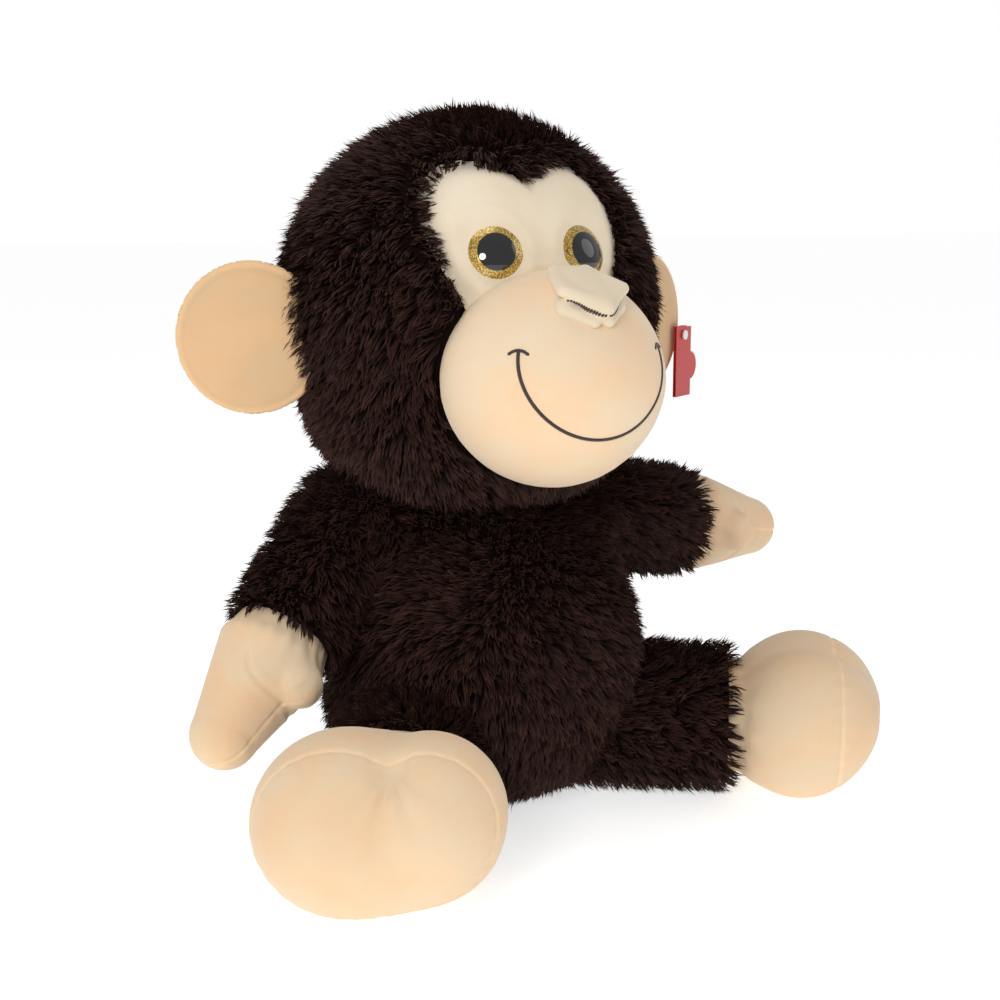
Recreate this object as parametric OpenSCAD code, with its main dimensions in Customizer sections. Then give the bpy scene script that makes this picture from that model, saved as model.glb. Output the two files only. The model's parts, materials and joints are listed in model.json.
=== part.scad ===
// Sitting stuffed monkey: fur covers, velour panels, fillings, safety eyes, stitching and hang tag.
// Origin: centre of the flat seat under the torso. +Z is up, the monkey faces -Y, its left is +X.

/* [Head] */

// Height of the centre of the head above the seat
head_height = 285; // [278:1:295]
// Radius of the head over the half pressed fur
head_radius = 108; // [104:1:110]
// Radius of the padded muzzle
muzzle_radius = 58; // [52:1:58]
// Diameter of each safety eye
eye_diameter = 31; // [24:1:32]
// Radius of each ear disc
ear_radius = 42; // [36:1:44]
// Thickness of an ear at its middle
ear_thickness = 12; // [10:1:14]

/* [Body] */

// Radius of the belly ball
belly_radius = 84; // [80:1:86]
// Radius of the chest ball
chest_radius = 74; // [70:1:76]
// Largest radius of the round base that the toy sits on
base_radius = 92; // [86:1:94]

/* [Limbs] */

// Radius of a sleeve over the half pressed fur
arm_radius = 34; // [30:1:34]
// Length of a sleeve from the shoulder to its cuff
sleeve_length = 75; // [68:1:80]
// Radius of a leg over the half pressed fur
leg_radius = 45; // [41:1:45]
// Length of a leg from the hip to its cuff
leg_length = 105; // [98:1:110]

/* [Fabric] */

// Thickness of the fur fabric with its pile half pressed
fur_wall = 6; // [4:0.5:7]
// Thickness of the velour
velour_wall = 2; // [1.5:0.5:2.5]

/* [Hidden] */

$fn = 64;
gap = 0.3;            // air between two pieces of one body
play = 0.5;           // air between two pieces that turn against each other
sweep_play = 1.6;     // extra room in the torso for a limb that swings
huge = 1200;

// Head
head_centre = [0, 0, head_height];
head_core = head_radius - fur_wall - velour_wall + gap;
neck_pivot = head_centre - [0, 0, 50];
neck_ball = 62;
neck_dish = 72;
neck_pad_width = 18;
muzzle_centre = head_centre + [0, -98, -35];
face_back = 12;       // how far the flatter face lies behind the ball of the head
face_centre = head_centre + [0, face_back, 0];
mask_half = [
    [0, 68], [8, 74], [21, 78], [36, 76], [47, 69], [54, 58],
    [55, 42], [54, 26], [49, 13], [42, 0], [0, 0]
];
mask_whole = concat(
    mask_half,
    [for (i = [len(mask_half) - 2 : -1 : 1]) [-mask_half[i][0], mask_half[i][1]]]
);

// Eyes: each looks along a ray from the centre of the face's ball
eye_turn = 15.3;      // outwards from straight ahead
eye_lift = 18;        // upwards
eye_radius = eye_diameter / 2;
iris_radius = eye_radius - 2.5;
pupil_radius = 0.62 * eye_radius;
eye_seat = head_core + velour_wall + gap;
iris_thickness = 1.2;
pupil_thickness = 0.6;
lens_height = 6;
shank_radius = 2.5;
shank_length = 18;
washer_radius = 9;
washer_thickness = 2;

// Nose and stitching
nose_centre = muzzle_centre + [0, -30, 48];
nose_radius = 8;
nose_half_width = 9;
nose_bridge = [0, -6, -2];
nose_tip = [0, -16, -6];
nostril_outer = [11.5, -9.5, -5.5];
nostril_inner = [3.5, -22.5, -10];
thread_radius = 1.2;
smile_tilt = 21.6;    // how far the plane of the smile leans back from upright
smile_depth = 39.4;   // distance of that plane from the muzzle centre
smile_half_angle = 99;
tick_length = 7;

// Ears: lens shaped discs that turn outwards
ear_turn = 30;
ear_centre_side = 127;
ear_centre = [ear_centre_side, 15, -15];
ear_skin = 1.5;
ear_clear = 4;        // room between the ear root and the head

// Hang tag, in the frame of the left ear: x outwards, y backwards, z up
tag_hole = [36, 0, -10];
tag_hole_radius = 2;
tag_pin_radius = 0.8;
tag_offset = 7;       // in front of the middle plane of the ear
tag_width = 20;
tag_height = 44;
tag_above_hole = 5;
tag_card = 0.7;
tag_fold = 1.4;
tag_lobe_radius = 9;
tag_lobe = [9, -20];
tag_shift = 0.24;     // puts the weight of the card under its hole
tag_flap_width = 14;

// Torso
belly_centre = [0, -18, 88];
chest_centre = [0, -2, 118];
chest_top = 174;      // where the neck opening cuts the torso off flat
base_roll = 56;       // radius of the rounded rim of the base
base_centre = [0, 4, 54];

// Limb frames: origin, turn about Z from +X, and tilt from +Z to the limb's own line
shoulder = [82, 0, 156];
arm_turn_left = 9;
arm_tilt_left = 100;
arm_turn_right = 209;
arm_tilt_right = 132;
arm_lower_left = 35;  // how far the left arm can be lowered
hip = [46, -28, leg_radius];
leg_turn_left = -33;
leg_turn_right = -122;
leg_in_left = 25;     // swing of each leg towards the middle and outwards
leg_out_left = 10;
leg_in_right = 12;
leg_out_right = 12;

// Hands and feet, along the limb
palm_radius = 31;
palm_at = 9;
tip_radius = 19;
tip_at = 57;
thumb_radius = 13;
thumb_at = 17;
thumb_out = 26;
foot_at = 40;
foot_radius = leg_radius;
foot_out = 18;
toe_radius = 38;
toe_in = 22;
toe_up = 6;
ankle_radius = 38;
sole_plane = 46;

fur_colour = [0.16, 0.10, 0.09];
cream = [0.96, 0.88, 0.76];
tan = [0.90, 0.74, 0.55];
white = [0.95, 0.95, 0.93];
dark = [0.05, 0.04, 0.04];

// ---------- helpers ----------

module half_space(axis, sign) {
    // Everything on one side of the origin plane across the named axis
    shift = sign * huge / 2;
    translate([axis == "x" ? shift : 0, axis == "y" ? shift : 0, axis == "z" ? shift : 0])
        cube(huge, center = true);
}

module ball(centre, radius) {
    translate(centre)
        sphere(r = radius);
}

module limb_frame(origin, turn, tilt) {
    translate(origin)
        rotate([0, tilt, turn])
            children();
}

module arm_frame(side) {
    origin = [side * shoulder[0], shoulder[1], shoulder[2]];
    turn = side > 0 ? arm_turn_left : arm_turn_right;
    tilt = side > 0 ? arm_tilt_left : arm_tilt_right;
    limb_frame(origin, turn, tilt)
        children();
}

module leg_frame(side, swing = 0) {
    origin = [side * hip[0], hip[1], hip[2]];
    turn = side > 0 ? leg_turn_left : leg_turn_right;
    limb_frame(origin, turn + swing, 90)
        children();
}

module capsule(radius, length) {
    // Round at the root, flat at the end
    sphere(r = radius);
    cylinder(r = radius, h = length);
}

// ---------- head ----------

module head_solid(inset) {
    ball(head_centre, head_radius - inset);
    ball(neck_pivot, neck_ball - inset);
}

module mask_prism(inset) {
    // The outline of the face mask, swept forwards from the centre of the head
    narrow = 1 - inset / 40;
    translate(head_centre)
        rotate([90, 0, 0])
            linear_extrude(height = huge / 2)
                scale(narrow)
                    polygon(mask_whole);
}

module face_hollow() {
    // What the flatter face and the muzzle take off the front of the filled head
    difference() {
        union() {
            mask_prism(0);
            ball(muzzle_centre, muzzle_radius + gap);
        }
        ball(face_centre, head_core);
    }
}

module head_cover(side) {
    difference() {
        head_solid(0);
        ball(head_centre, head_core + gap);
        ball(neck_pivot, neck_ball - fur_wall);
        mask_prism(0);
        ball(muzzle_centre, muzzle_radius + gap);
        translate([side * gap / 2, 0, 0])
            half_space("x", -side);
    }
}

module head_filling() {
    difference() {
        union() {
            ball(head_centre, head_core);
            ball(neck_pivot, neck_ball - fur_wall - gap);
        }
        face_hollow();
        for (side = [-1, 1])
            eye_frame(side)
                eye_socket();
    }
}

module eye_socket() {
    // Room in the filling for the shank and its washer
    translate([0, 0, -shank_length - gap])
        cylinder(r = washer_radius + gap, h = washer_thickness + 2 * gap);
    translate([0, 0, -shank_length - washer_thickness])
        cylinder(r = shank_radius + gap, h = shank_length + 2 * washer_thickness);
}

module face_mask() {
    difference() {
        intersection() {
            difference() {
                ball(face_centre, head_core + gap + velour_wall);
                ball(face_centre, head_core + gap);
            }
            mask_prism(gap);
        }
        ball(muzzle_centre, muzzle_radius + gap);
        for (side = [-1, 1])
            eye_frame(side)
                cylinder(r = shank_radius + gap, h = 30, center = true);
    }
}

module muzzle_ball(inset) {
    translate(muzzle_centre)
        sphere(r = muzzle_radius - inset, $fn = 48);
}

module muzzle_cover() {
    difference() {
        muzzle_ball(0);
        muzzle_ball(velour_wall);
        ball(face_centre, head_core + gap);
    }
}

module muzzle_filling() {
    difference() {
        muzzle_ball(velour_wall + gap);
        ball(face_centre, head_core + gap);
    }
}

// ---------- nose and stitching ----------

module nose_solid(grow) {
    translate(nose_centre) {
        for (side = [-1, 1])
            ball([side * nose_half_width, 0, 0], nose_radius + grow);
        ball(nose_bridge, nose_radius + 1 + grow);
        ball(nose_tip, nose_radius - 1 + grow);
    }
}

module nose_flap() {
    difference() {
        nose_solid(0);
        ball(muzzle_centre, muzzle_radius + gap);
        ball(head_centre, head_core + velour_wall + 2 * gap);
    }
}

module rod(start, end, radius) {
    // Round bar between two points
    line = end - start;
    translate(start)
        rotate([0, acos(line[2] / norm(line)), atan2(line[1], line[0])])
            cylinder(r = radius, h = norm(line));
}

module nostril(side) {
    mirror([side > 0 ? 0 : 1, 0, 0])
        rod(nose_centre + nostril_outer, nose_centre + nostril_inner, thread_radius);
}

module nostril_stitching() {
    difference() {
        for (side = [-1, 1])
            nostril(side);
        nose_solid(0.05);
        ball(muzzle_centre, muzzle_radius + gap);
    }
}

module smile_stitching() {
    smile_radius = sqrt(muzzle_radius * muzzle_radius - smile_depth * smile_depth);
    difference() {
        translate(muzzle_centre)
            rotate([90 - smile_tilt, 0, 0])
                translate([0, 0, smile_depth]) {
                    rotate([0, 0, -90 - smile_half_angle])
                        rotate_extrude(angle = 2 * smile_half_angle, $fn = 64)
                            translate([smile_radius, 0])
                                circle(r = thread_radius, $fn = 12);
                    for (side = [-1, 1])
                        rotate([0, 0, -90 + side * smile_half_angle])
                            translate([smile_radius, 0, 0])
                                rotate([0, 90, 0])
                                    cylinder(r = thread_radius, h = tick_length, center = true);
                }
        ball(muzzle_centre, muzzle_radius + 0.1);
    }
}

// ---------- eyes ----------

module eye_frame(side) {
    // Origin on the outside of the mask, +Z out along the line of sight
    translate(face_centre)
        rotate([0, 0, side * eye_turn])
            rotate([90 - eye_lift, 0, 0])
                translate([0, 0, eye_seat])
                    children();
}

module eye_shank(side) {
    eye_frame(side) {
        cylinder(r = eye_radius, h = 1);
        translate([0, 0, -shank_length])
            cylinder(r = shank_radius, h = shank_length);
    }
}

module eye_washers() {
    for (side = [-1, 1])
        eye_frame(side)
            translate([0, 0, -shank_length])
                difference() {
                    cylinder(r = washer_radius, h = washer_thickness);
                    translate([0, 0, -1])
                        cylinder(r = shank_radius + gap / 3, h = washer_thickness + 2);
                }
}

module eye_iris(side) {
    eye_frame(side)
        translate([0, 0, 1 + gap / 3])
            cylinder(r = iris_radius, h = iris_thickness);
}

module eye_pupil(side) {
    eye_frame(side)
        translate([0, 0, 1 + gap + iris_thickness])
            cylinder(r = pupil_radius, h = pupil_thickness);
}

module eye_lens(side) {
    // Spherical cap, hollow below over the iris and pupil
    cap_radius = (eye_radius * eye_radius + lens_height * lens_height) / (2 * lens_height);
    eye_frame(side)
        difference() {
            intersection() {
                translate([0, 0, 1 + gap / 3 + lens_height - cap_radius])
                    sphere(r = cap_radius, $fn = 96);
                translate([0, 0, 1 + gap / 3])
                    cylinder(r = eye_radius, h = lens_height + 1);
            }
            cylinder(r = iris_radius + gap / 3, h = 1 + iris_thickness + 2 * gap / 3);
            cylinder(r = pupil_radius + gap, h = 1 + iris_thickness + pupil_thickness + 2 * gap);
        }
}

// ---------- ears ----------

module ear_frame(side) {
    // Origin at the middle of the disc, +X outwards and away from the head, -Y its front
    translate(head_centre + [side * ear_centre[0], ear_centre[1], ear_centre[2]])
        mirror([side > 0 ? 0 : 1, 0, 0])
            rotate([0, 0, ear_turn])
                children();
}

module ear_lens(inset) {
    half = ear_thickness / 2;
    radius = (ear_radius * ear_radius + half * half) / (2 * half);
    intersection() {
        translate([0, radius - half, 0])
            sphere(r = radius - inset, $fn = 128);
        translate([0, half - radius, 0])
            sphere(r = radius - inset, $fn = 128);
    }
}

module ear_clearance() {
    ball(head_centre, head_radius + ear_clear);
}

module ear_pin_hole(side) {
    if (side > 0)
        ear_frame(side)
            translate(tag_hole)
                rotate([90, 0, 0])
                    cylinder(r = tag_pin_radius + gap / 3, h = 4 * ear_thickness, center = true);
}

module ear_panel(side, face) {
    difference() {
        ear_frame(side)
            difference() {
                ear_lens(0);
                ear_lens(ear_skin);
                translate([0, face * gap / 2, 0])
                    half_space("y", -face);
            }
        ear_clearance();
        ear_pin_hole(side);
    }
}

module ear_wadding(side) {
    difference() {
        ear_frame(side)
            ear_lens(ear_skin + gap);
        ear_clearance();
        ear_pin_hole(side);
    }
}

// ---------- hang tag ----------

module tag_outline() {
    translate([tag_shift, 0]) {
        translate([-tag_width / 2, tag_above_hole - tag_height])
            square([tag_width, tag_height]);
        translate(tag_lobe)
            circle(r = tag_lobe_radius);
    }
}

module tag_leaf(offset) {
    // One leaf of the folded card, drilled for the pin
    translate([0, -offset, 0])
        rotate([90, 0, 0])
            linear_extrude(height = tag_card)
                difference() {
                    children();
                    circle(r = tag_hole_radius);
                }
}

module hang_tag() {
    ear_frame(1)
        translate(tag_hole) {
            tag_leaf(tag_offset + tag_fold)
                tag_outline();
            tag_leaf(tag_offset)
                translate([tag_shift - tag_width / 2, tag_above_hole - tag_height])
                    square([tag_flap_width, tag_height]);
            translate([tag_shift - tag_width / 2, -tag_offset - tag_fold - tag_card, tag_above_hole])
                cube([tag_flap_width, tag_fold + 2 * tag_card, tag_card]);
        }
}

module tag_fastener() {
    // Nylon pin: cross bar behind the ear, thin pin, round head in front of the card
    front = tag_offset + tag_fold + tag_card + play;
    ear_frame(1)
        translate(tag_hole) {
            rotate([90, 0, 0])
                translate([0, 0, -3.5])
                    cylinder(r = tag_pin_radius, h = front + 4);
            translate([0, 3.5, 0])
                cylinder(r = tag_pin_radius, h = 9, center = true);
            translate([0, -front, 0])
                rotate([90, 0, 0])
                    cylinder(r = tag_hole_radius + 1, h = 1);
        }
}

// ---------- torso ----------

module torso_solid(inset) {
    ball(belly_centre, belly_radius - inset);
    ball(chest_centre, chest_radius - inset);
    translate(base_centre)
        rotate_extrude($fn = 64)
            intersection() {
                union() {
                    translate([base_radius - base_roll, 0])
                        circle(r = base_roll - inset, $fn = 48);
                    translate([0, inset - base_roll])
                        square([base_radius - base_roll, 2 * (base_roll - inset)]);
                }
                square([huge, huge]);
            }
    translate(base_centre)
        rotate_extrude($fn = 64)
            intersection() {
                translate([base_radius - base_roll, 0])
                    circle(r = base_roll - inset, $fn = 48);
                translate([0, -huge])
                    square([huge, huge]);
            }
}

module torso_room() {
    // What the neck, the arms and the legs need over their whole travel, and the flat seat
    ball(neck_pivot, neck_dish);
    arm_frame(-1)
        capsule(arm_radius + play, sleeve_length + 20);
    arm_room_left(arm_lower_left);
    arm_room_left(0);
    for (swing = [-leg_in_left, -leg_in_left / 3, leg_out_left])
        leg_frame(1, swing)
            capsule(leg_radius + sweep_play, leg_length + 20);
    for (swing = [leg_in_right, 0, -leg_out_right])
        leg_frame(-1, swing)
            capsule(leg_radius + sweep_play, leg_length + 20);
    half_space("z", -1);
    translate([0, 0, chest_top])
        half_space("z", 1);
}

module arm_room_left(lowered) {
    translate(shoulder)
        rotate([0, lowered, 0])
            translate(-shoulder)
                arm_frame(1)
                    capsule(arm_radius + play, sleeve_length + 20);
}

module torso_cover(face) {
    difference() {
        torso_solid(0);
        translate([0, 0, 0.1])
            torso_solid(fur_wall);
        torso_room();
        translate([0, face * gap / 2, 0])
            half_space("y", -face);
    }
}

module torso_filling() {
    difference() {
        torso_solid(fur_wall + gap);
        torso_room();
        translate([0, 0, fur_wall + gap])
            half_space("z", -1);
    }
}

module neck_filling() {
    intersection() {
        difference() {
            ball(neck_pivot, neck_dish - play);
            ball(neck_pivot, neck_ball + play);
        }
        translate(neck_pivot - [0, 0, neck_dish])
            cylinder(r = neck_pad_width, h = neck_dish);
    }
}

// ---------- arms ----------

module sleeve(side) {
    arm_frame(side)
        difference() {
            capsule(arm_radius, sleeve_length);
            capsule(arm_radius - fur_wall, sleeve_length + 1);
        }
}

module arm_filling(side) {
    arm_frame(side)
        capsule(arm_radius - fur_wall - gap, sleeve_length - gap);
}

module hand_solid(side, inset) {
    translate([0, 0, sleeve_length]) {
        ball([0, 0, palm_at], palm_radius - inset);
        translate([0, 0, palm_at + 8])
            cylinder(
                r1 = palm_radius - inset - 1,
                r2 = tip_radius - inset,
                h = tip_at - palm_at - 4
            );
        ball([0, 0, tip_at], tip_radius - inset);
        ball([0, -side * thumb_out, thumb_at], thumb_radius - inset);
    }
}

module hand_panel(side, face) {
    arm_frame(side)
        difference() {
            hand_solid(side, 0);
            hand_solid(side, velour_wall);
            translate([0, 0, sleeve_length + gap])
                half_space("z", -1);
            translate([face * gap / 2, 0, 0])
                half_space("x", -face);
        }
}

module hand_filling(side) {
    arm_frame(side)
        difference() {
            hand_solid(side, velour_wall + gap);
            translate([0, 0, sleeve_length + gap])
                half_space("z", -1);
        }
}

// ---------- legs ----------

module leg_cover(side) {
    leg_frame(side)
        difference() {
            capsule(leg_radius, leg_length);
            capsule(leg_radius - fur_wall, leg_length + 1);
        }
}

module leg_filling(side) {
    leg_frame(side)
        capsule(leg_radius - fur_wall - gap, leg_length - gap);
}

module foot_solid(side, inset) {
    translate([0, 0, leg_length]) {
        cylinder(r = ankle_radius - inset, h = foot_at);
        ball([0, side * foot_out, foot_at], foot_radius - inset);
        ball([-toe_up, -side * toe_in, foot_at], toe_radius - inset);
    }
}

module foot_panel(side, face) {
    leg_frame(side)
        difference() {
            foot_solid(side, 0);
            foot_solid(side, velour_wall);
            translate([0, 0, leg_length + gap])
                half_space("z", -1);
            translate([0, 0, leg_length + sole_plane + face * gap / 2])
                half_space("z", -face);
        }
}

module foot_filling(side) {
    leg_frame(side)
        difference() {
            foot_solid(side, velour_wall + gap);
            translate([0, 0, leg_length + gap])
                half_space("z", -1);
        }
}

// ---------- nodes ----------

color(fur_colour) head_cover(1);  // head_cover_left
color(fur_colour) head_cover(-1);  // head_cover_right
color(white) head_filling();
color(cream) face_mask();
color(cream) muzzle_cover();
color(white) muzzle_filling();
color(cream) nose_flap();
color(dark) nostril_stitching();
color(dark) smile_stitching();
color([0.8, 0.9, 1, 0.4]) eye_lens(1);  // eye_lens_left
color([0.8, 0.9, 1, 0.4]) eye_lens(-1);  // eye_lens_right
color([0.8, 0.65, 0.2]) eye_iris(1);  // eye_iris_left
color([0.8, 0.65, 0.2]) eye_iris(-1);  // eye_iris_right
color(dark) eye_pupil(1);  // eye_pupil_left
color(dark) eye_pupil(-1);  // eye_pupil_right
color(dark) eye_shank(1);  // eye_shank_left
color(dark) eye_shank(-1);  // eye_shank_right
color(white) eye_washers();
color(tan) ear_panel(1, -1);  // ear_front_left
color(cream) ear_panel(1, 1);  // ear_back_left
color(white) ear_wadding(1);  // ear_wadding_left
color(tan) ear_panel(-1, -1);  // ear_front_right
color(cream) ear_panel(-1, 1);  // ear_back_right
color(white) ear_wadding(-1);  // ear_wadding_right
color([0.8, 0.15, 0.2]) hang_tag();
color(white) tag_fastener();
color(white) neck_filling();
color(fur_colour) torso_cover(-1);  // torso_cover_front
color(fur_colour) torso_cover(1);  // torso_cover_back
color(white) torso_filling();
color(fur_colour) sleeve(1);  // sleeve_left
color(white) arm_filling(1);  // arm_filling_left
color(cream) hand_panel(1, -1);  // hand_back_left
color(tan) hand_panel(1, 1);  // hand_palm_left
color(white) hand_filling(1);  // hand_filling_left
color(fur_colour) sleeve(-1);  // sleeve_right
color(white) arm_filling(-1);  // arm_filling_right
color(cream) hand_panel(-1, -1);  // hand_back_right
color(tan) hand_panel(-1, 1);  // hand_palm_right
color(white) hand_filling(-1);  // hand_filling_right
color(fur_colour) leg_cover(1);  // leg_cover_left
color(white) leg_filling(1);  // leg_filling_left
color(cream) foot_panel(1, -1);  // foot_top_left
color(tan) foot_panel(1, 1);  // foot_sole_left
color(white) foot_filling(1);  // foot_filling_left
color(fur_colour) leg_cover(-1);  // leg_cover_right
color(white) leg_filling(-1);  // leg_filling_right
color(cream) foot_panel(-1, -1);  // foot_top_right
color(tan) foot_panel(-1, 1);  // foot_sole_right
color(white) foot_filling(-1);  // foot_filling_right
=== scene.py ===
"""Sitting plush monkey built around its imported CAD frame: fur, velour panels, eyes, stitching and tag."""

import json
import math

import bpy
import numpy as np
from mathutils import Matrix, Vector, kdtree
from mathutils.bvhtree import BVHTree


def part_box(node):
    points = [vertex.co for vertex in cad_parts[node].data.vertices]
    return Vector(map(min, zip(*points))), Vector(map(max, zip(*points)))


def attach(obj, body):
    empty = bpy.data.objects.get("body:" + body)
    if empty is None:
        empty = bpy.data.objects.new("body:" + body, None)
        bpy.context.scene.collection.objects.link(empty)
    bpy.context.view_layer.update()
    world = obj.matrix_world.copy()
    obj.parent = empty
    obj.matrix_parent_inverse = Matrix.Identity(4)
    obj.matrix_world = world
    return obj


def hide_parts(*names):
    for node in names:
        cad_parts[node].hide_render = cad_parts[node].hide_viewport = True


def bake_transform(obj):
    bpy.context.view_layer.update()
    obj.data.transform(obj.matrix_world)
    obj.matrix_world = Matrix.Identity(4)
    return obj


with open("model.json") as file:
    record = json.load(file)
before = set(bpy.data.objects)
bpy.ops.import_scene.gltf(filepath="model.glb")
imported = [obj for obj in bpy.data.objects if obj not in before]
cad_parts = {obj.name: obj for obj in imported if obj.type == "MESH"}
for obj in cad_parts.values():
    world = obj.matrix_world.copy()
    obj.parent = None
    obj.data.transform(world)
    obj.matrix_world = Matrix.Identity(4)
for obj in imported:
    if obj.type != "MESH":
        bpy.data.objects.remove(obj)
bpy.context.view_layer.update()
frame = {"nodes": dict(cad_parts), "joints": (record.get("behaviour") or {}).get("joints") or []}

MM = 0.001
UP = np.array([0.0, 0.0, 1.0])
FORWARD = np.array([0.0, -1.0, 0.0])


# ---------------------------------------------------------------- places taken from the frame


def box(node):
    low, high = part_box(node)
    return np.array(low), np.array(high)


def middle(node):
    low, high = box(node)
    return (low + high) / 2


def joint(name):
    return next(j for j in frame["joints"] if j["name"] == name)


def unit(vector):
    vector = np.asarray(vector, float)
    return vector / np.linalg.norm(vector)


PILE = 10.5 * MM
head_low, head_high = box("head_cover_left")
HEAD_RADIUS = head_high[0] - 4 * MM
HEAD = np.array([0.0, 0.0, head_high[2] - head_high[0]])
FACE_BACK = 12 * MM
FACE = HEAD + [0, FACE_BACK, 0]
NECK = np.array(joint("neck_turn")["pos_m"])
muzzle_low, muzzle_high = box("muzzle_cover")
MUZZLE_RADIUS = (muzzle_high[0] - muzzle_low[0]) / 2
MUZZLE = np.array([0.0, muzzle_low[1] + MUZZLE_RADIUS, muzzle_low[2] + MUZZLE_RADIUS + 2 * MM])
FACE_RADIUS = 102.8 * MM


class Limb:
    """A limb's own frame: inner (to the middle on a leg, forwards on an arm), then up, then along it."""

    def __init__(self, joint_name, side, turn, tilt):
        turn, tilt = math.radians(turn), math.radians(tilt)
        self.side = side
        self.root = np.array(joint(joint_name)["pos_m"])
        outwards = np.array([math.cos(turn), math.sin(turn), 0])
        upright = np.array([0, 0, 1])
        self.along = math.sin(tilt) * outwards + math.cos(tilt) * upright
        self.inner = side * np.array([math.sin(turn), -math.cos(turn), 0])
        self.up = -math.cos(tilt) * outwards + math.sin(tilt) * upright

    def place(self, inner, up, along):
        return self.root + self.inner * inner + self.up * up + self.along * along

    def local(self, points):
        away = points - self.root
        return away @ self.inner, away @ self.up, away @ self.along

    def own(self, points, start):
        """The points in the limb's own axes, measured from a place along it."""
        inner, up, along = self.local(points)
        return np.stack([inner, up, along - start], 1)


SLEEVE_LENGTH = 75 * MM
LEG_LENGTH = 105 * MM
arms = {"left": Limb("shoulder_left", 1, 9, 100), "right": Limb("shoulder_right", -1, 209, 132)}
legs = {"left": Limb("hip_left", 1, -33, 90), "right": Limb("hip_right", -1, -122, 90)}


# ---------------------------------------------------------------- camera and stage


def make_camera():
    azimuth, elevation = math.radians(-27), math.radians(10.4)
    distance, lens = 0.967, 59.3
    aim = Vector((0.0151, -0.0077, 0.171))
    back = Vector((
        math.sin(azimuth) * math.cos(elevation),
        -math.cos(azimuth) * math.cos(elevation),
        math.sin(elevation),
    ))
    data = bpy.data.cameras.new("camera")
    data.lens = lens
    data.sensor_width = 36
    data.clip_end = 50
    camera = bpy.data.objects.new("camera", data)
    camera.location = aim + back * distance
    camera.rotation_euler = (-back).to_track_quat("-Z", "Y").to_euler()
    bpy.context.scene.collection.objects.link(camera)
    bpy.context.scene.camera = camera
    return back


def area_light(name, location, target, size, power, colour=(1, 1, 1)):
    data = bpy.data.lights.new(name, "AREA")
    data.shape = "DISK"
    data.size = size
    data.energy = power
    data.color = colour
    light = bpy.data.objects.new(name, data)
    light.location = location
    light.rotation_euler = (Vector(target) - Vector(location)).to_track_quat("-Z", "Y").to_euler()
    bpy.context.scene.collection.objects.link(light)


WORLD_LIGHT = 0.42


def make_stage():
    scene = bpy.context.scene
    scene.view_settings.view_transform = "Standard"
    world = bpy.data.worlds.new("studio")
    world.use_nodes = True
    background = world.node_tree.nodes["Background"]
    background.inputs["Color"].default_value = (1, 1, 1, 1)
    path = world.node_tree.nodes.new("ShaderNodeLightPath")
    strength = world.node_tree.nodes.new("ShaderNodeMapRange")
    strength.inputs["To Min"].default_value = WORLD_LIGHT
    strength.inputs["To Max"].default_value = 1.0
    world.node_tree.links.new(path.outputs["Is Camera Ray"], strength.inputs["Value"])
    world.node_tree.links.new(strength.outputs["Result"], background.inputs["Strength"])
    scene.world = world
    mesh = bpy.data.meshes.new("floor")
    half = 12.0
    corners = [(-half, -half, 0), (half, -half, 0), (half, half, 0), (-half, half, 0)]
    mesh.from_pydata(corners, [], [(0, 1, 2, 3)])
    floor = bpy.data.objects.new("floor", mesh)
    scene.collection.objects.link(floor)
    paper = new_material("studio_floor")
    shader = paper.node_tree.nodes["Principled BSDF"]
    shader.inputs["Base Color"].default_value = (0.75, 0.75, 0.75, 1)
    shader.inputs["Roughness"].default_value = 0.9
    shader.inputs["Emission Color"].default_value = (1, 1, 1, 1)
    shader.inputs["Emission Strength"].default_value = 0.66
    mesh.materials.append(paper)
    centre = (0, -0.03, 0.2)
    area_light("key", (-0.98, -1.12, 0.80), centre, 0.42, 7.5)
    area_light("right_fill", (1.3, -0.7, 1.0), centre, 1.0, 2.0)
    area_light("top", (-0.2, 0.25, 1.5), centre, 1.0, 4.5)


# ---------------------------------------------------------------- material helpers


def new_material(name):
    material = bpy.data.materials.new(name)
    material.use_nodes = True
    return material


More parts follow.
